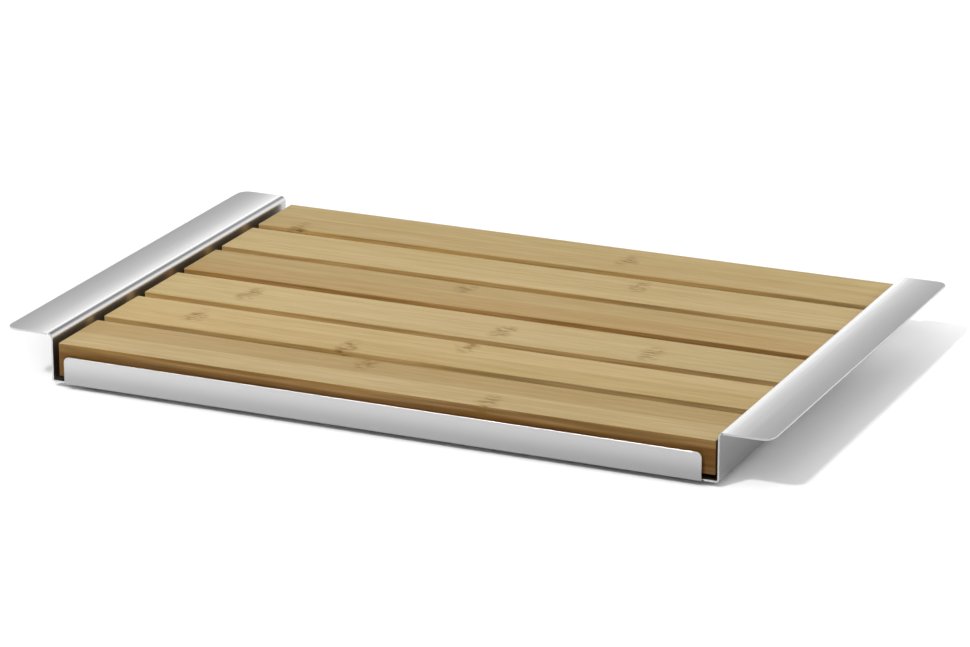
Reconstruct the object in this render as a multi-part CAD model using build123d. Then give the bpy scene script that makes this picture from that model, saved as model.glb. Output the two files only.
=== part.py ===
from build123d import *
import os

# Bread board: a slatted bamboo board that lies loose in a crumb tray folded from one steel sheet.
# Millimetres. The origin is on the table under the middle of the tray, with +X towards the right
# handle, -Y towards the front lip and +Z up.

# Tray
overall_length = 430.0  # over the edges of the two handles
overall_depth = 278.0  # over the outer faces of the two lips
tray_height = 26.5  # underside of the floor to the top of the handles
sheet = 1.0  # thickness of the steel
bend_radius = 0.5  # inside radius of the folds along the floor
handle_bend_radius = 2.0  # inside radius of the folds between the walls and the handles
handle_width = 27.5  # outer face of a wall to the edge of its handle
handle_corner = 6.5  # radius of the handles' corners, seen from above
lip_height = 15.4  # underside of the floor to the top of a lip
lip_corner = 3.0  # radius of the lips' upper corners
lip_notch = 8.5  # open corner from the end of a lip to the outer face of a wall
wall_setback = 2.2  # the ends of the walls stand this far behind the lips' outer faces
relief_width = 0.6  # slit beside each end of a lip, so that the sheet folds cleanly
relief_depth = 0.3  # how far the slit runs in past the start of the fold and the end of the wall

# Feet
foot_diameter = 14.0
foot_height = 2.5
foot_inset = 32.0  # centre of a foot from the outer faces of the wall and the lip
foot_edge = 0.4  # bevel round the bottom of a foot

# Board
slat_count = 6
slat_thickness = 18.0
slat_gap = 7.5  # slot between two slats
end_slat_width = 42.0  # the rearmost and the foremost slat
slat_edge = 0.5  # rounding of the slats' upper edges and upright corners
end_clearance = 2.2  # between the slats' ends and each wall, when the board lies in the middle
board_shift = 1.3  # the loose board lies this far to the right of the middle
lip_clearance = 1.2  # between the board and each lip

# Crossbars
crossbar_width = 30.0
crossbar_stand = 3.0  # how far a crossbar stands proud of the slats: the height of the crumb space
crossbar_inset = 60.0  # centre of a crossbar from the slats' ends
crossbar_setback = 12.0  # end of a crossbar from the board's front and rear faces
crossbar_edge = 0.6  # bevel round the bottom of a crossbar
housing_depth = 4.0  # depth of the grooves in the slats that the crossbars are let into
housing_clearance = 0.1  # between a crossbar and the sides of its groove

# Screws
screw_diameter = 3.5
screw_head_diameter = 7.0
screw_sink = 0.3  # how far the heads lie inside the crossbar's underside
screw_cover = 4.5  # bamboo left above the point of a screw
screw_point = 3.0  # length of the tapered point
screw_clearance = 0.05  # round the shank and the head
cross_length = 4.0  # cross recess in the head
cross_width = 0.9
cross_depth = 1.2

# Places that several pieces share
handle_edge_x = overall_length / 2
wall_outer_x = handle_edge_x - handle_width
wall_inner_x = wall_outer_x - sheet
lip_outer_y = overall_depth / 2
lip_half_length = wall_outer_x - lip_notch
wall_end_y = lip_outer_y - wall_setback
fold_outer_radius = bend_radius + sheet
handle_fold_radius = handle_bend_radius + sheet
fold_start_y = lip_outer_y - fold_outer_radius

floor_bottom_z = foot_height
floor_top_z = floor_bottom_z + sheet
handle_top_z = floor_bottom_z + tray_height
lip_top_z = floor_bottom_z + lip_height
slat_bottom_z = floor_top_z + crossbar_stand
slat_top_z = slat_bottom_z + slat_thickness
housing_top_z = slat_bottom_z + housing_depth
screw_head_z = floor_top_z + screw_sink
screw_tip_z = slat_top_z - screw_cover

board_length = 2 * (wall_inner_x - end_clearance)
board_depth = 2 * (lip_outer_y - sheet - lip_clearance)
inner_slat_count = slat_count - 2
inner_slat_width = (board_depth - 2 * end_slat_width - (slat_count - 1) * slat_gap) / inner_slat_count
slat_widths = [end_slat_width] + [inner_slat_width] * inner_slat_count + [end_slat_width]

# The slats' centre lines, from the rear to the front
slat_y = []
rear_edge = board_depth / 2
for width in slat_widths:
    slat_y.append(rear_edge - width / 2)
    rear_edge -= width + slat_gap

crossbar_x = {
    "left": board_shift - board_length / 2 + crossbar_inset,
    "right": board_shift + board_length / 2 - crossbar_inset,
}
crossbar_length = board_depth - 2 * crossbar_setback


def upright_box(x_size, y_size, z_low, z_high, x=0.0, y=0.0):
    """A block between two heights, centred on x and y."""
    return Pos(x, y, (z_low + z_high) / 2) * Box(x_size, y_size, z_high - z_low)


def upright_cylinder(radius, z_low, z_high, x=0.0, y=0.0):
    """A round bar between two heights."""
    return Pos(x, y, (z_low + z_high) / 2) * Cylinder(radius, z_high - z_low)


def upright_cone(low_radius, high_radius, z_low, z_high, x=0.0, y=0.0):
    """A taper between two heights."""
    return Pos(x, y, (z_low + z_high) / 2) * Cone(low_radius, high_radius, z_high - z_low)


def folded_section(plane, corners):
    """A flat section from its corners, each with the radius of its fold, or 0 where it is sharp."""
    points = [(across, height) for across, height, radius in corners]
    radii = [radius for across, height, radius in corners]
    return plane * make_face(FilletPolyline(*points, radius=radii, close=True))


def mirrored(corners):
    """The same corners on the other side of the middle, in the order that goes on round the section."""
    return [(-across, height, radius) for across, height, radius in reversed(corners)]


def make_tray():
    """Floor, walls and handles are one section along Y. The two lips fold up from the floor."""
    inside = [
        (handle_edge_x, handle_top_z, 0),
        (wall_inner_x, handle_top_z, handle_fold_radius),
        (wall_inner_x, floor_top_z, bend_radius),
    ]
    outside = [
        (wall_outer_x, floor_bottom_z, fold_outer_radius),
        (wall_outer_x, handle_top_z - sheet, handle_bend_radius),
        (handle_edge_x, handle_top_z - sheet, 0),
    ]
    section = folded_section(Plane.XZ, inside + mirrored(inside) + mirrored(outside) + outside)
    tray = extrude(section, amount=wall_end_y, both=True)
    plan = extrude(RectangleRounded(overall_length, 2 * wall_end_y, handle_corner), amount=handle_top_z)
    tray = tray & plan

    # Each lip takes the place of a strip of the floor's edge
    lip_start_y = min(fold_start_y, wall_end_y) - relief_depth
    strip_depth = wall_end_y - lip_start_y
    for side in (1, -1):
        tray -= upright_box(
            2 * (lip_half_length + relief_width),
            2 * strip_depth,
            floor_bottom_z,
            floor_top_z,
            y=side * (lip_start_y + strip_depth),
        )
        lip_corners = [
            (side * lip_start_y, floor_bottom_z, 0),
            (side * lip_outer_y, floor_bottom_z, fold_outer_radius),
            (side * lip_outer_y, lip_top_z, 0),
            (side * (lip_outer_y - sheet), lip_top_z, 0),
            (side * (lip_outer_y - sheet), floor_top_z, bend_radius),
            (side * lip_start_y, floor_top_z, 0),
        ]
        lip = extrude(folded_section(Plane.YZ, lip_corners), amount=lip_half_length, both=True)
        upper_corners = lip.edges().filter_by(Axis.Y).group_by(Axis.Z)[-1]
        tray += fillet(upper_corners, lip_corner)
    return tray


def make_foot(x, y):
    """A rubber pad, flat against the floor's underside."""
    foot = upright_cylinder(foot_diameter / 2, 0, floor_bottom_z, x, y)
    bottom_edge = foot.edges().group_by(Axis.Z)[0]
    return chamfer(bottom_edge, foot_edge)


def make_slat(width, y):
    """A slat with its groove for each crossbar and a pilot hole for each screw."""
    slat = upright_box(board_length, width, slat_bottom_z, slat_top_z, board_shift, y)
    lower_edges = slat.edges().group_by(Axis.Z)[0]
    slat = fillet(slat.edges() - lower_edges, slat_edge)
    for x in crossbar_x.values():
        slat -= upright_box(
            crossbar_width + 2 * housing_clearance,
            crossbar_length + 2 * housing_clearance,
            slat_bottom_z,
            housing_top_z,
            x,
        )
        slat -= upright_cylinder(screw_diameter / 2 + screw_clearance, housing_top_z, screw_tip_z, x, y)
    return slat


def countersunk_shape(x, y, shank_top_z, clearance):
    """A countersunk head with its shank, and with a clearance, the hole that they fit."""
    head_radius = screw_head_diameter / 2 + clearance
    shank_radius = screw_diameter / 2 + clearance
    head_top_z = screw_head_z + head_radius - shank_radius
    head = upright_cone(head_radius, shank_radius, screw_head_z, head_top_z, x, y)
    return head + upright_cylinder(shank_radius, head_top_z, shank_top_z, x, y)


def make_crossbar(x):
    """A bar across all the slats, let into their undersides, with a sunk hole for each screw."""
    bar = upright_box(crossbar_width, crossbar_length, floor_top_z, housing_top_z, x)
    bottom_edges = bar.edges().group_by(Axis.Z)[0]
    bar = chamfer(bottom_edges, crossbar_edge)
    for y in slat_y:
        bar -= countersunk_shape(x, y, housing_top_z, screw_clearance)
        bar -= upright_cylinder(screw_head_diameter / 2 + screw_clearance, floor_top_z, screw_head_z, x, y)
    return bar


def make_screw(x, y):
    """A wood screw, head down, with a cross recess and a tapered point."""
    point_start_z = screw_tip_z - screw_point
    screw = countersunk_shape(x, y, point_start_z, 0.0)
    screw += upright_cone(screw_diameter / 2, 0, point_start_z, screw_tip_z, x, y)
    for arm_x, arm_y in ((cross_length, cross_width), (cross_width, cross_length)):
        screw -= upright_box(arm_x, arm_y, screw_head_z, screw_head_z + cross_depth, x, y)
    return screw


pieces = {"tray": make_tray()}

foot_x = wall_outer_x - foot_inset
foot_y = lip_outer_y - foot_inset
for depth_name, y in (("front", -foot_y), ("rear", foot_y)):
    for side_name, x in (("left", -foot_x), ("right", foot_x)):
        pieces[f"foot_{depth_name}_{side_name}"] = make_foot(x, y)

for number, (width, y) in enumerate(zip(slat_widths, slat_y), start=1):
    pieces[f"slat_{number}"] = make_slat(width, y)

for side_name, x in crossbar_x.items():
    pieces[f"{side_name}_crossbar"] = make_crossbar(x)
    pieces[f"{side_name}_crossbar_screws"] = Compound(children=[make_screw(x, y) for y in slat_y])

os.makedirs("parts", exist_ok=True)
for name, shape in pieces.items():
    export_step(shape, f"parts/{name}.step")
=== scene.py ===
import bmesh
import bpy
import math
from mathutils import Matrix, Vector


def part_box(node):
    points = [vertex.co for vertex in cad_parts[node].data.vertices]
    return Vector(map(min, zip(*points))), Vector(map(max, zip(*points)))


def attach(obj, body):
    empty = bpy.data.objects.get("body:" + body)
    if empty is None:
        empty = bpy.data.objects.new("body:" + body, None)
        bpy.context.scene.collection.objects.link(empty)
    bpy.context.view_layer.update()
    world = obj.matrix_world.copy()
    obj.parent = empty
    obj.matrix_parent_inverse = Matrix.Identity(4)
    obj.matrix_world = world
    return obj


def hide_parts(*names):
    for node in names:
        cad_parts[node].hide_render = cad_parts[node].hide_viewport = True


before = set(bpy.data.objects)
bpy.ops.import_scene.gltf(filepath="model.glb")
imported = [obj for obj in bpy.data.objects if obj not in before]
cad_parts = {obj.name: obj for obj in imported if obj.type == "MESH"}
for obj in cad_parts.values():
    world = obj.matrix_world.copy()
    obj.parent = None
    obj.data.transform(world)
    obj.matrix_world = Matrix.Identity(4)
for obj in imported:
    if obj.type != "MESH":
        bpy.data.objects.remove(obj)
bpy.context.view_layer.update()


# Crumb tray
# One sheet of stainless steel, folded on a press brake: a floor, a low lip at the front and the
# rear, and two walls that fold outwards as handles. Slits beside the lips let the corners fold.
MM = 0.001
tolerance = 0.01 * MM
sheet = 1.0 * MM
bend_radius = 0.5 * MM
fold_radius = bend_radius + sheet
handle_bend_radius = 2.0 * MM
fold_segments = 10
handle_width = 27.5 * MM
handle_corner = 6.5 * MM
lip_height = 15.4 * MM
lip_corner = 3.0 * MM
corner_segments = 10
lip_notch = 8.5 * MM
wall_setback = 2.2 * MM
relief_width = 0.6 * MM
relief_depth = 0.3 * MM
tray_low, tray_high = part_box("tray")
floor_z = tray_low.z
handle_under_z = tray_high.z - sheet
lip_top_z = floor_z + lip_height
handle_edge_x = tray_high.x
wall_x = handle_edge_x - handle_width
lip_end_x = wall_x - lip_notch
lip_y = tray_high.y
wall_end_y = lip_y - wall_setback
lip_start_y = min(lip_y - fold_radius, wall_end_y) - relief_depth


def near(a, b):
    """True where two places are the same."""
    return abs(a - b) < tolerance


def pick(kind, test):
    """In edit mode, selects only verts, edges by both their ends or faces by their middles."""
    modes = {"verts": "VERT", "edges": "EDGE", "faces": "FACE"}
    bpy.ops.mesh.select_mode(type=modes[kind])
    bpy.ops.mesh.select_all(action="DESELECT")
    mesh = bmesh.from_edit_mesh(bpy.context.edit_object.data)
    places = {
        "verts": lambda vert: [vert.co],
        "edges": lambda edge: [vert.co for vert in edge.verts],
        "faces": lambda face: [face.calc_center_median()],
    }
    for item in getattr(mesh, kind):
        if all(test(place) for place in places[kind](item)):
            item.select_set(True)
    mesh.select_flush_mode()
    bmesh.update_edit_mesh(bpy.context.edit_object.data)


def apply_modifier(kind, **settings):
    """Adds a modifier to the active piece, sets it and applies it."""
    bpy.ops.object.modifier_add(type=kind)
    modifier = bpy.context.active_object.modifiers[-1]
    for name, value in settings.items():
        setattr(modifier, name, value)
    bpy.ops.object.modifier_apply(modifier=modifier.name)


def extrude(x=0.0, z=0.0):
    """Draws the selected edges out into new faces."""
    bpy.ops.mesh.extrude_region_move(TRANSFORM_OT_translate={"value": (x, 0, z)})


def in_relief(co):
    """Inside one of the slits beside the ends of the lips."""
    return 0 < abs(co.x) - lip_end_x < relief_width and abs(co.y) > lip_start_y


# The flat floor, cut along the lips' ends and the slits
bpy.ops.object.select_all(action="DESELECT")
bpy.ops.mesh.primitive_plane_add(size=2)
tray = bpy.context.active_object
tray.name = "crumb_tray"
bpy.ops.object.material_slot_add()
bpy.ops.object.material_slot_add()
bpy.ops.object.mode_set(mode="EDIT")
bpy.ops.transform.resize(value=(wall_x, wall_end_y, 1))
bpy.ops.transform.translate(value=(0, 0, floor_z))
for side in (1, -1):
    for x in (lip_end_x, lip_end_x + relief_width):
        bpy.ops.mesh.select_all(action="SELECT")
        bpy.ops.mesh.bisect(plane_co=(side * x, 0, 0), plane_no=(1, 0, 0))
    bpy.ops.mesh.select_all(action="SELECT")
    bpy.ops.mesh.bisect(plane_co=(0, side * lip_start_y, 0), plane_no=(0, 1, 0))
pick("faces", in_relief)
bpy.ops.mesh.delete(type="FACE")

# The lips, walls and handles, folded up from the floor's edges
for side in (1, -1):
    pick("verts", lambda co: near(co.y, side * wall_end_y) and abs(co.x) < lip_end_x + tolerance)
    bpy.ops.transform.translate(value=(0, side * wall_setback, 0))
    pick("edges", lambda co: near(co.y, side * lip_y))
    extrude(z=lip_height)
    pick("edges", lambda co: near(co.x, side * wall_x))
    extrude(z=handle_under_z - floor_z)
    extrude(x=side * handle_width)
for side in (1, -1):
    pick("edges", lambda co: near(co.y, side * lip_start_y) and abs(co.x) > wall_x - tolerance)
    bpy.ops.mesh.dissolve_edges(use_verts=True)

# The folds' radii and the rounded corners of the handles and lips
pick("edges", lambda co: near(abs(co.x), wall_x) and near(co.z, floor_z))
bpy.ops.mesh.bevel(offset=fold_radius, segments=fold_segments, affect="EDGES")
pick("edges", lambda co: near(abs(co.x), wall_x) and near(co.z, handle_under_z))
bpy.ops.mesh.bevel(offset=handle_bend_radius, segments=fold_segments, affect="EDGES")
pick("edges", lambda co: near(abs(co.y), lip_y) and near(co.z, floor_z))
bpy.ops.mesh.bevel(offset=fold_radius, segments=fold_segments, affect="EDGES")
pick("verts", lambda co: near(abs(co.x), handle_edge_x) and near(abs(co.y), wall_end_y))
bpy.ops.mesh.bevel(offset=handle_corner, segments=corner_segments, affect="VERTICES")
pick("verts", lambda co: near(abs(co.x), lip_end_x) and near(co.z, lip_top_z))
bpy.ops.mesh.bevel(offset=lip_corner, segments=corner_segments, affect="VERTICES")
bpy.ops.object.mode_set(mode="OBJECT")
apply_modifier(
    "SOLIDIFY", thickness=sheet, offset=1.0, use_even_offset=True, material_offset_rim=1
)

# The cut edges are eased, apart from those at the ends of the handles and of the floor's corners
deburr = 0.28 * MM
deburr_segments = 3
cut_angle = math.radians(50)
smooth_angle = math.radians(40)
plain_handle_x = wall_x + handle_bend_radius / 2
plain_handle_y = wall_end_y - 0.3 * handle_corner
plain_floor_z = floor_z + 1.5 * sheet


def at_plain_end(co):
    """On the end of a handle or of the floor's corner, where the cut edges stay sharp."""
    at_handle_end = abs(co.x) > plain_handle_x and abs(co.y) > plain_handle_y
    on_floor = abs(co.x) < wall_x - sheet and co.z < plain_floor_z
    return at_handle_end or (on_floor and near(abs(co.y), wall_end_y))


bpy.ops.object.mode_set(mode="EDIT")
bpy.ops.mesh.select_mode(type="EDGE")
bpy.ops.mesh.select_all(action="DESELECT")
bpy.ops.mesh.edges_select_sharp(sharpness=cut_angle)
bpy.ops.transform.edge_bevelweight(value=1.0)
pick("edges", at_plain_end)
bpy.ops.transform.edge_bevelweight(value=-1.0)
bpy.ops.object.mode_set(mode="OBJECT")
apply_modifier(
    "BEVEL",
    width=deburr,
    segments=deburr_segments,
    limit_method="WEIGHT",
    use_clamp_overlap=False,
)
bpy.ops.object.shade_smooth_by_angle(angle=smooth_angle)
apply_modifier("WEIGHTED_NORMAL", weight=100, keep_sharp=True)
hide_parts("tray")
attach(tray, "tray")


def linear(hex_colour):
    """An sRGB colour such as c8b285 as linear red, green, blue and alpha."""
    channels = [int(hex_colour[i:i + 2], 16) / 255 for i in (0, 2, 4)]
    return [c / 12.92 if c <= 0.04045 else ((c + 0.055) / 1.055) ** 2.4 for c in channels] + [1.0]


def add_node(tree, kind, inputs=None, **settings):
    """Adds a node with its settings. An input is a value, or the output that feeds it."""
    node = tree.nodes.new(kind)
    for name, value in settings.items():
        setattr(node, name, value)
    for socket, value in (inputs or {}).items():
        if isinstance(value, bpy.types.NodeSocket):
            tree.links.new(value, node.inputs[socket])
        else:
            node.inputs[socket].default_value = value
    return node


def new_material(name):
    """An empty node material, with its tree, its shader and the piece's own coordinates."""
    material = bpy.data.materials.new(name)
    material.use_nodes = True
    tree = material.node_tree
    shader = tree.nodes["Principled BSDF"]
    place = add_node(tree, "ShaderNodeTexCoord")
    return material, tree, shader, place


# Satin stainless steel, finely brushed along the handles. The folding polishes the sheet beside the
# handles' folds, so the finish is smoother there. The handles' colour carries a painted highlight:
# paler beside the folds, greyer towards the outer edges. The lips' colour carries a painted shade,
# darker towards their own folds. The brush lines are wider than the real grit, to show.
steel, tree, shader, place = new_material("satin_brushed_stainless_steel")
brush_line = 0.6 * MM
brush_length = 70 * MM
brush_depth = 0.08
polished_x = wall_x + 2.5 * MM
satin_x = wall_x + 25.0 * MM
sheet_rough = 0.3
polished_rough, satin_rough = 0.17, 0.54
painted_highlight_tone, painted_outer_shade_tone = "d6d6d6", "c4c4c4"
lip_painted_shade_tone, lip_painted_bright_tone = "bdbdbd", "e6e6e6"
lip_fold_z = floor_z + fold_radius
lip_bright_z = floor_z + 0.9 * lip_height
lip_face_y = wall_end_y + 0.2 * MM
mapped = add_node(
    tree,
    "ShaderNodeMapping",
    {
        "Vector": place.outputs["Object"],
        "Scale": (1 / brush_line, 1 / brush_length, 1 / brush_line),
    },
)
lines = add_node(
    tree, "ShaderNodeTexNoise", {"Vector": mapped.outputs[0], "Scale": 1.0, "Detail": 3.0}
)
brushed = add_node(
    tree,
    "ShaderNodeMapRange",
    {
        "Value": lines.outputs["Fac"],
        "From Min": 0.3,
        "From Max": 0.7,
        "To Min": 1 - brush_depth,
        "To Max": 1 + brush_depth,
    },
)
parts = add_node(tree, "ShaderNodeSeparateXYZ", {0: place.outputs["Object"]})
from_middle_x = add_node(tree, "ShaderNodeMath", {0: parts.outputs["X"]}, operation="ABSOLUTE")
from_middle_y = add_node(tree, "ShaderNodeMath", {0: parts.outputs["Y"]}, operation="ABSOLUTE")
on_handle = add_node(
    tree,
    "ShaderNodeMapRange",
    {
        "Value": from_middle_x.outputs[0],
        "From Min": polished_x - sheet,
        "From Max": polished_x,
    },
)
across_handle = add_node(
    tree,
    "ShaderNodeMapRange",
    {"Value": from_middle_x.outputs[0], "From Min": polished_x, "From Max": satin_x},
)
dulled = add_node(
    tree, "ShaderNodeMath", {0: across_handle.outputs[0], 1: 0.5}, operation="POWER"
)
handle_rough = add_node(
    tree,
    "ShaderNodeMapRange",
    {"Value": dulled.outputs[0], "To Min": polished_rough, "To Max": satin_rough},
)
face_rough = add_node(
    tree,
    "ShaderNodeMix",
    {0: on_handle.outputs[0], 2: sheet_rough, 3: handle_rough.outputs[0]},
    data_type="FLOAT",
)
rough = add_node(
    tree,
    "ShaderNodeMath",
    {0: face_rough.outputs[0], 1: brushed.outputs[0]},
    operation="MULTIPLY",
)
# Painted shade: the lips' colour darkens towards their folds
up_lip = add_node(
    tree,
    "ShaderNodeMapRange",
    {"Value": parts.outputs["Z"], "From Min": lip_fold_z, "From Max": lip_bright_z},
    interpolation_type="SMOOTHSTEP",
)
painted_lip_shade = add_node(
    tree,
    "ShaderNodeMix",
    {0: up_lip.outputs[0], 6: linear(lip_painted_shade_tone), 7: linear(lip_painted_bright_tone)},
    data_type="RGBA",
)
on_lip = add_node(
    tree,
    "ShaderNodeMath",
    {0: from_middle_y.outputs[0], 1: lip_face_y},
    operation="GREATER_THAN",
)
# Painted highlight: the handles' colour is paler by the folds and greyer outwards
painted_handle_sheen = add_node(
    tree,
    "ShaderNodeMix",
    {0: across_handle.outputs[0], 6: linear(painted_highlight_tone), 7: linear(painted_outer_shade_tone)},
    data_type="RGBA",
)
tone = add_node(
    tree,
    "ShaderNodeMix",
    {0: on_lip.outputs[0], 6: painted_handle_sheen.outputs[2], 7: painted_lip_shade.outputs[2]},
    data_type="RGBA",
)
tree.links.new(tone.outputs[2], shader.inputs["Base Color"])
tree.links.new(rough.outputs[0], shader.inputs["Roughness"])
shader.inputs["Metallic"].default_value = 1.0
tray.material_slots[0].material = steel

# The sheet's cut edges are ground smooth, so they shine more than its faces
steel_edge, tree, shader, place = new_material("ground_stainless_steel_edge")
grind = 0.3 * MM
ground = add_node(
    tree, "ShaderNodeTexNoise", {"Vector": place.outputs["Object"], "Scale": 1 / grind}
)
rough = add_node(
    tree,
    "ShaderNodeMapRange",
    {"Value": ground.outputs["Fac"], "To Min": 0.12, "To Max": 0.22},
)
tree.links.new(rough.outputs[0], shader.inputs["Roughness"])
shader.inputs["Metallic"].default_value = 1.0
shader.inputs["Base Color"].default_value = linear("e2e2e2")
tray.material_slots[1].material = steel_edge


# Rubber feet
# Four round pads of black rubber, stuck under the corners of the tray's floor. Moulded rubber is
# matt, with a fine even grain.
rubber, tree, shader, place = new_material("moulded_black_rubber")
rubber_grain = 0.6 * MM
rubber_relief = 0.05 * MM
grain = add_node(
    tree,
    "ShaderNodeTexNoise",
    {"Vector": place.outputs["Object"], "Scale": 1 / rubber_grain, "Detail": 2.0},
)
relief = add_node(
    tree,
    "ShaderNodeBump",
    {"Height": grain.outputs["Fac"], "Distance": rubber_relief, "Strength": 0.4},
)
tree.links.new(relief.outputs[0], shader.inputs["Normal"])
shader.inputs["Base Color"].default_value = linear("232323")
shader.inputs["Roughness"].default_value = 0.75
for name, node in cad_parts.items():
    if name.startswith("foot_"):
        node.material_slots[0].material = rubber


# Bamboo slats
# Six slats of pressed bamboo, sanded and oiled, with eased edges. Each top is two strips of cane
# side by side, over darker plies that show on the sides. The cane's knuckles cross the strips.
top_ply = 4.2 * MM
ply_wave = 1.2 * MM
ply_blur = 0.6 * MM
strip_joint = 0.3 * MM
knuckle_length = 8.0 * MM
knuckle_width = 15.0 * MM
knuckle_bend = 8.0 * MM
knuckle_wave = 6.0 * MM
broad_fibre = (120 * MM, 4.5 * MM)
fine_fibre = (35 * MM, 1.1 * MM)
thin_fibre = (14 * MM, 0.45 * MM)
wavy_fibre = (90 * MM, 6 * MM)
stripe_fibre = (55 * MM, 1.6 * MM)
fleck_fibre = (6 * MM, 1.7 * MM)
fibre_relief = 0.03 * MM
grain_depth = 0.16
grain_colour = 0.1
stripe_depth = 0.2
# The ends' tone is partly the cut fibres' own and partly painted shade
end_grain_and_gap_shade = "5c4728"
knuckle_tone = "7c5a1c"
strip_shift = (1.7, 0.0, 0.31)
bar_shift = (0.83, 0.0, 0.19)
noise_spread = {"From Min": 0.33, "From Max": 0.67}
fleck_spread = {"From Min": 0.45, "From Max": 0.58}
side_tilt = {"From Min": 0.75, "From Max": 0.35}
end_tilt = {"From Min": 0.6, "From Max": 0.9}


def make_bamboo(name, node, tones, knuckles, seed, right_end=1.0, right_side_painted_shade=1.0):
    """Bamboo for one bar, with a tone for each of its two strips and for its upper and lower plies,
    and a place for each knuckle. Towards the right end, all of it fades to one lightness, and the
    sides darken further to another, which is painted shade."""
    low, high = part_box(node)
    middle_x, strip_y = (low.x + high.x) / 2, (low.y + high.y) / 2
    ply_z = high.z - top_ply + ply_wave
    material, tree, shader, place = new_material(name)
    point = place.outputs["Object"]
    parts = add_node(tree, "ShaderNodeSeparateXYZ", {0: point})
    strip = add_node(
        tree,
        "ShaderNodeMapRange",
        {
            "Value": parts.outputs["Y"],
            "From Min": strip_y + strip_joint,
            "From Max": strip_y - strip_joint,
        },
    )

    # Each strip and each bar has its own place in the grain
    shift = add_node(
        tree,
        "ShaderNodeVectorMath",
        {0: strip.outputs[0], 1: strip_shift, 2: [step * seed for step in bar_shift]},
        operation="MULTIPLY_ADD",
    )
    own = add_node(
        tree, "ShaderNodeVectorMath", {0: point, 1: shift.outputs[0]}, operation="ADD"
    )

    def streaks(length, width):
        """Fibres that run along the bar, by their usual length and width."""
        scale = (1 / length, 1 / width, 1 / width)
        mapped = add_node(
            tree, "ShaderNodeMapping", {"Vector": own.outputs[0], "Scale": scale}
        )
        noise = add_node(
            tree,
            "ShaderNodeTexNoise",
            {"Vector": mapped.outputs[0], "Scale": 1.0, "Detail": 2.0},
        )
        return noise.outputs["Fac"]

    grain = streaks(*broad_fibre)
    for fibre, share in ((fine_fibre, 0.5), (thin_fibre, 0.3)):
        finer = add_node(
            tree, "ShaderNodeMix", {0: share, 2: grain, 3: streaks(*fibre)}, data_type="FLOAT"
        )
        grain = finer.outputs[0]

    # The top of each strip
    tone = add_node(
        tree,
        "ShaderNodeMix",
        {0: strip.outputs[0], 6: linear(tones[0]), 7: linear(tones[1])},
        data_type="RGBA",
    )
    grain_light = add_node(
        tree,
        "ShaderNodeMapRange",
        {"Value": grain, **noise_spread, "To Min": 1 - grain_depth, "To Max": 1 + grain_depth},
    )
    along = add_node(
        tree,
        "ShaderNodeMapRange",
        {
            "Value": parts.outputs["X"],
            "From Min": low.x,
            "From Max": high.x,
            "To Min": 1.0,
            "To Max": right_end,
        },
    )
    lightness = add_node(
        tree,
        "ShaderNodeMath",
        {0: grain_light.outputs[0], 1: along.outputs[0]},
        operation="MULTIPLY",
    )
    depth = add_node(
        tree,
        "ShaderNodeMapRange",
        {"Value": grain, **noise_spread, "To Min": 1 + grain_colour, "To Max": 1 - grain_colour},
    )

    # The sides show the edges of the plies, the lower ones darker
    normal = add_node(tree, "ShaderNodeSeparateXYZ", {0: place.outputs["Normal"]})
    upright = add_node(tree, "ShaderNodeMath", {0: normal.outputs["Z"]}, operation="ABSOLUTE")
    side = add_node(tree, "ShaderNodeMapRange", {"Value": upright.outputs[0], **side_tilt})
    uneven = add_node(
        tree,
        "ShaderNodeMath",
        {0: streaks(*wavy_fibre), 1: 2 * ply_wave, 2: parts.outputs["Z"]},
        operation="MULTIPLY_ADD",
    )
    ply = add_node(
        tree,
        "ShaderNodeMapRange",
        {
            "Value": uneven.outputs[0],
            "From Min": ply_z - ply_blur,
            "From Max": ply_z + ply_blur,
        },
    )
    side_tone = add_node(
        tree,
        "ShaderNodeMix",
        {0: ply.outputs[0], 6: linear(tones[3]), 7: linear(tones[2])},
        data_type="RGBA",
    )
    stripes = add_node(
        tree,
        "ShaderNodeMapRange",
        {
            "Value": streaks(*stripe_fibre),
            **noise_spread,
            "To Min": 1 - stripe_depth,
            "To Max": 1 + stripe_depth,
        },
    )
    # Painted shade: the sides darken towards the right end
    side_painted_shade = add_node(
        tree,
        "ShaderNodeMapRange",
        {
            "Value": parts.outputs["X"],
            "From Min": middle_x,
            "From Max": high.x,
            "To Min": 1.0,
            "To Max": right_side_painted_shade,
        },
    )
    side_stripes_and_shade = add_node(
        tree,
        "ShaderNodeMath",
        {0: stripes.outputs[0], 1: side_painted_shade.outputs[0]},
        operation="MULTIPLY",
    )
    side_colour = add_node(
        tree,
        "ShaderNodeHueSaturation",
        {"Color": side_tone.outputs[2], "Value": side_stripes_and_shade.outputs[0]},
    )
    long_faces = add_node(
        tree,
        "ShaderNodeMix",
        {0: side.outputs[0], 6: tone.outputs[2], 7: side_colour.outputs[0]},
        data_type="RGBA",
    )

    # The ends show the cut fibres, in a tone darkened partly as painted shade for the gaps at the
    # tray's walls
    endways = add_node(tree, "ShaderNodeMath", {0: normal.outputs["X"]}, operation="ABSOLUTE")
    end = add_node(tree, "ShaderNodeMapRange", {"Value": endways.outputs[0], **end_tilt})
    all_faces = add_node(
        tree,
        "ShaderNodeMix",
        {0: end.outputs[0], 6: long_faces.outputs[2], 7: linear(end_grain_and_gap_shade)},
        data_type="RGBA",
    )
    cane = add_node(
        tree,
        "ShaderNodeHueSaturation",
        {
            "Color": all_faces.outputs[2],
            "Saturation": depth.outputs[0],
            "Value": lightness.outputs[0],
        },
    )

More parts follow.
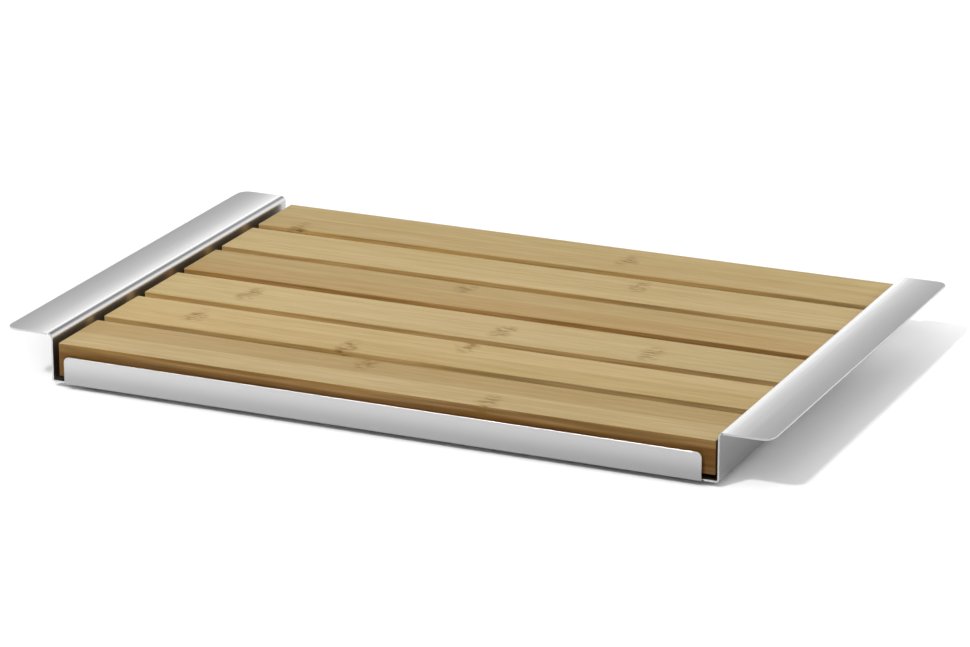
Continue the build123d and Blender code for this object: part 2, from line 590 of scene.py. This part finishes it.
    # Knuckles: short dark flecks in a band across one strip, wider than the real ones, to show
    flecks = add_node(
        tree,
        "ShaderNodeMapRange",
        {"Value": streaks(*fleck_fibre), **fleck_spread, "To Min": 0.04, "To Max": 0.8},
    )
    bent = add_node(
        tree,
        "ShaderNodeTexNoise",
        {"Vector": own.outputs[0], "Scale": 1 / knuckle_wave, "Detail": 2.0},
    )
    knuckle = 0.0
    for x, y in knuckles:
        bend = add_node(
            tree,
            "ShaderNodeVectorMath",
            {
                0: bent.outputs["Color"],
                1: (knuckle_bend, 0, 0),
                2: (-x - knuckle_bend / 2, -y, 0),
            },
            operation="MULTIPLY_ADD",
        )
        away = add_node(
            tree, "ShaderNodeVectorMath", {0: point, 1: bend.outputs[0]}, operation="ADD"
        )
        scaled = add_node(
            tree,
            "ShaderNodeVectorMath",
            {0: away.outputs[0], 1: (1 / knuckle_length, 1 / knuckle_width, 0)},
            operation="MULTIPLY",
        )
        distance = add_node(
            tree, "ShaderNodeVectorMath", {0: scaled.outputs[0]}, operation="LENGTH"
        )
        band = add_node(
            tree,
            "ShaderNodeMapRange",
            {"Value": distance.outputs["Value"], "From Min": 1.0, "From Max": 0.2},
            interpolation_type="SMOOTHSTEP",
        )
        together = add_node(
            tree, "ShaderNodeMath", {0: knuckle, 1: band.outputs[0]}, operation="MAXIMUM"
        )
        knuckle = together.outputs[0]
    marked = add_node(
        tree, "ShaderNodeMath", {0: knuckle, 1: flecks.outputs[0]}, operation="MULTIPLY"
    )
    colour = add_node(
        tree,
        "ShaderNodeMix",
        {0: marked.outputs[0], 6: cane.outputs[0], 7: linear(knuckle_tone)},
        data_type="RGBA",
    )
    tree.links.new(colour.outputs[2], shader.inputs["Base Color"])
    relief = add_node(
        tree, "ShaderNodeBump", {"Height": grain, "Distance": fibre_relief, "Strength": 0.3}
    )
    tree.links.new(relief.outputs[0], shader.inputs["Normal"])
    shader.inputs["Roughness"].default_value = 0.6
    shader.inputs["Specular IOR Level"].default_value = 0.2
    return material


# The sides seen in the slots are lightened, painted light against the slots' shade; the front
# slat's side keeps a darker tone
slot_tones_painted_light = ("c6a266", "a3844c")
red_slot_tones_painted_light = ("ae854d", "966a35")
front_tones = ("8d6b3a", "745023")
slat_tones = {
    "slat_1": ("af9866", "ac9361"),
    "slat_2": ("b59e6c", "b9a170"),
    "slat_3": ("ab915f", "a98c59"),
    "slat_4": ("bda573", "bda574"),
    "slat_5": ("bea471", "b99e69"),
    "slat_6": ("aa8f5d", "b79f70"),
}
slat_knuckles = {
    "slat_1": ((36, 115), (-158, 97)),
    "slat_2": ((59, 75),),
    "slat_3": ((-26, 36),),
    "slat_4": ((-129, -22), (22, -26), (107, -27)),
    "slat_5": ((-138, -68), (-42, -81), (16, -55)),
    "slat_6": ((-21, -102), (60, -131)),
}
# For each slat, the lightness at its right end, and the painted shade on its sides there
slat_right_end_tones_and_side_shade = {
    "slat_1": (1.0, 0.72),
    "slat_2": (0.95, 0.78),
    "slat_3": (1.0, 0.8),
    "slat_4": (0.85, 0.88),
    "slat_5": (0.88, 0.78),
    "slat_6": (0.94, 1.0),
}
for seed, (name, tones) in enumerate(slat_tones.items(), start=1):
    places = [(x * MM, y * MM) for x, y in slat_knuckles[name]]
    side_tones = {"slat_3": red_slot_tones_painted_light, "slat_6": front_tones}.get(name, slot_tones_painted_light)
    bamboo = make_bamboo(
        f"pressed_bamboo_{name}", name, tones + side_tones, places, seed, *slat_right_end_tones_and_side_shade[name]
    )
    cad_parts[name].material_slots[0].material = bamboo


# Crossbars
# Two bars of bamboo under the slats, let into grooves that are cut across them. They stand on the
# tray's floor, so that crumbs have room under the slats.
crossbar_tones = ("b0965f", "b49a64", "a98e5c", "9a7d4c")
for seed, name in enumerate(("left_crossbar", "right_crossbar"), start=11):
    bamboo = make_bamboo(f"pressed_bamboo_{name}", name, crossbar_tones, (), seed)
    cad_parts[name].material_slots[0].material = bamboo


# Screws
# Countersunk steel wood screws with cross recesses, one through each crossbar into each slat. The
# steel is bright from turning, with fine uneven marks.
screw_steel, tree, shader, place = new_material("turned_screw_steel")
turning = 0.25 * MM
marks = add_node(
    tree,
    "ShaderNodeTexNoise",
    {"Vector": place.outputs["Object"], "Scale": 1 / turning, "Detail": 2.0},
)
rough = add_node(
    tree,
    "ShaderNodeMapRange",
    {"Value": marks.outputs["Fac"], "To Min": 0.25, "To Max": 0.4},
)
tree.links.new(rough.outputs[0], shader.inputs["Roughness"])
shader.inputs["Metallic"].default_value = 1.0
shader.inputs["Base Color"].default_value = linear("b4b4b2")
for name in ("left_crossbar_screws", "right_crossbar_screws"):
    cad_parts[name].material_slots[0].material = screw_steel


# Floor
# A plain white sweep that runs far past the picture and keeps the shadow of the tray. The camera
# sees it white. It lights the tray like pale grey paper, with painted light: paler on the left, the
# key light's side, and greyer to the right.
floor_size = 12.0
paper_fade = 200 * MM
paper_painted_lit_end, paper_painted_dim_end, seen_paper = "eaeaea", "d2d2d2", "fdfdfd"
bpy.ops.mesh.primitive_plane_add(size=floor_size)
floor = bpy.context.active_object
floor.name = "floor"
paper, tree, shader, place = new_material("white_paper_sweep")
parts = add_node(tree, "ShaderNodeSeparateXYZ", {0: place.outputs["Object"]})
across = add_node(
    tree,
    "ShaderNodeMapRange",
    {"Value": parts.outputs["X"], "From Min": -paper_fade, "From Max": paper_fade},
)
# Painted light: the paper's colour fades from pale at the left to grey at the right
paper_painted_falloff = add_node(
    tree,
    "ShaderNodeMix",
    {0: across.outputs[0], 6: linear(paper_painted_lit_end), 7: linear(paper_painted_dim_end)},
    data_type="RGBA",
)
path = add_node(tree, "ShaderNodeLightPath")
seen = add_node(
    tree,
    "ShaderNodeMix",
    {0: path.outputs["Is Camera Ray"], 6: paper_painted_falloff.outputs[2], 7: linear(seen_paper)},
    data_type="RGBA",
)
tree.links.new(seen.outputs[2], shader.inputs["Base Color"])
shader.inputs["Roughness"].default_value = 0.9
shader.inputs["Specular IOR Level"].default_value = 0.0
floor.data.materials.append(paper)


# Light
# A white studio: low bright walls behind, brightest at the left, a dim ring above them, a wide soft
# box overhead at the front and a fill at the right. A key light stands at the front left, and two
# small spots lift the shade under one end of each handle. The camera sees plain white.
wall_level = 1.55
front_level = 0.04 * wall_level
right_level = 0.6
ring_level = 0.1
box_level = 1.3
fill_level = 1.7
wall_tops = [math.sin(math.radians(angle)) for angle in (18.5, 33.5)]
box_rim = [math.cos(math.radians(angle)) for angle in (42, 34)]
fill_rim = [math.cos(math.radians(angle)) for angle in (38, 20)]
world = bpy.data.worlds.new("studio")
bpy.context.scene.world = world
world.use_nodes = True
tree = world.node_tree
background = tree.nodes["Background"]
direction = add_node(tree, "ShaderNodeTexCoord")


def studio_level(towards, rise, dim, bright):
    """A level for each direction of the studio, dim away from one side and bright towards it. It
    rises between two cosines of the angle from that side."""
    share = add_node(
        tree,
        "ShaderNodeVectorMath",
        {0: direction.outputs["Generated"], 1: Vector(towards).normalized()},
        operation="DOT_PRODUCT",
    )
    step = add_node(
        tree,
        "ShaderNodeMapRange",
        {
            "Value": share.outputs["Value"],
            "From Min": rise[0],
            "From Max": rise[1],
            "To Min": dim,
            "To Max": bright,
        },
        interpolation_type="SMOOTHSTEP",
    )
    return step.outputs[0]


behind = studio_level((-0.5, 0.87, 0), (-0.2, 0.9), front_level, wall_level)
right = studio_level((1, 0, 0), (0.3, 0.9), 0.0, right_level)
overhead = studio_level((0.15, -0.45, 1), box_rim, ring_level, box_level)
fill = studio_level((0.85, 0.34, 0.45), fill_rim, 0.0, fill_level)
above_walls = studio_level((0, 0, 1), wall_tops, 0.0, 1.0)
walls = add_node(tree, "ShaderNodeMath", {0: behind, 1: right}, operation="ADD")
boxes = add_node(tree, "ShaderNodeMath", {0: overhead, 1: fill}, operation="MAXIMUM")
level = add_node(
    tree,
    "ShaderNodeMix",
    {0: above_walls, 2: walls.outputs[0], 3: boxes.outputs[0]},
    data_type="FLOAT",
)
path = add_node(tree, "ShaderNodeLightPath")
seen = add_node(
    tree,
    "ShaderNodeMix",
    {0: path.outputs["Is Camera Ray"], 2: level.outputs[0], 3: 1.0},
    data_type="FLOAT",
)
tree.links.new(seen.outputs[0], background.inputs["Strength"])
background.inputs["Color"].default_value = (1, 1, 1, 1)


def look_from(thing, its_side):
    """Turns a light or the camera so that it looks from its side of the scene."""
    thing.rotation_euler = (-its_side).to_track_quat("-Z", "Y").to_euler()


key_direction = Vector((-9.5, -18.0, 27.5))
bpy.ops.object.light_add(type="SUN", location=key_direction * 0.05)
key_light = bpy.context.active_object
key_light.data.energy = 1.45
key_light.data.angle = math.radians(6)
look_from(key_light, key_direction)

spot_distance = 600 * MM
spot_angle = math.radians(8)
spot_radius = 30 * MM
for target, spot_direction, energy in (
    ((-216, -116, 0), (-0.9, -0.35, 0.3), 10.0),
    ((207, 140, 0), (0.55, 0.75, 0.3), 15.0),
):
    spot_direction = Vector(spot_direction).normalized()
    spot_place = Vector(target) * MM + spot_direction * spot_distance
    bpy.ops.object.light_add(type="SPOT", location=spot_place)
    spot = bpy.context.active_object
    spot.data.energy = energy
    spot.data.spot_size = spot_angle
    spot.data.spot_blend = 1.0
    spot.data.shadow_soft_size = spot_radius
    look_from(spot, spot_direction)


# Camera
# A long lens, from the front and a little to the right, looking down at the board.
view_azimuth = math.radians(24.01)
view_elevation = math.radians(18.43)
view_target = Vector((-20.7, 47.7, 1.0)) * MM
view_distance = 2380 * MM
view_direction = Vector(
    (
        math.sin(view_azimuth) * math.cos(view_elevation),
        -math.cos(view_azimuth) * math.cos(view_elevation),
        math.sin(view_elevation),
    )
)
bpy.ops.object.camera_add(location=view_target + view_direction * view_distance)
camera = bpy.context.active_object
camera.data.sensor_width = 36.0
camera.data.lens = 161.3
camera.data.clip_end = 50
look_from(camera, view_direction)
bpy.context.scene.camera = camera
bpy.context.scene.view_settings.view_transform = "Standard"
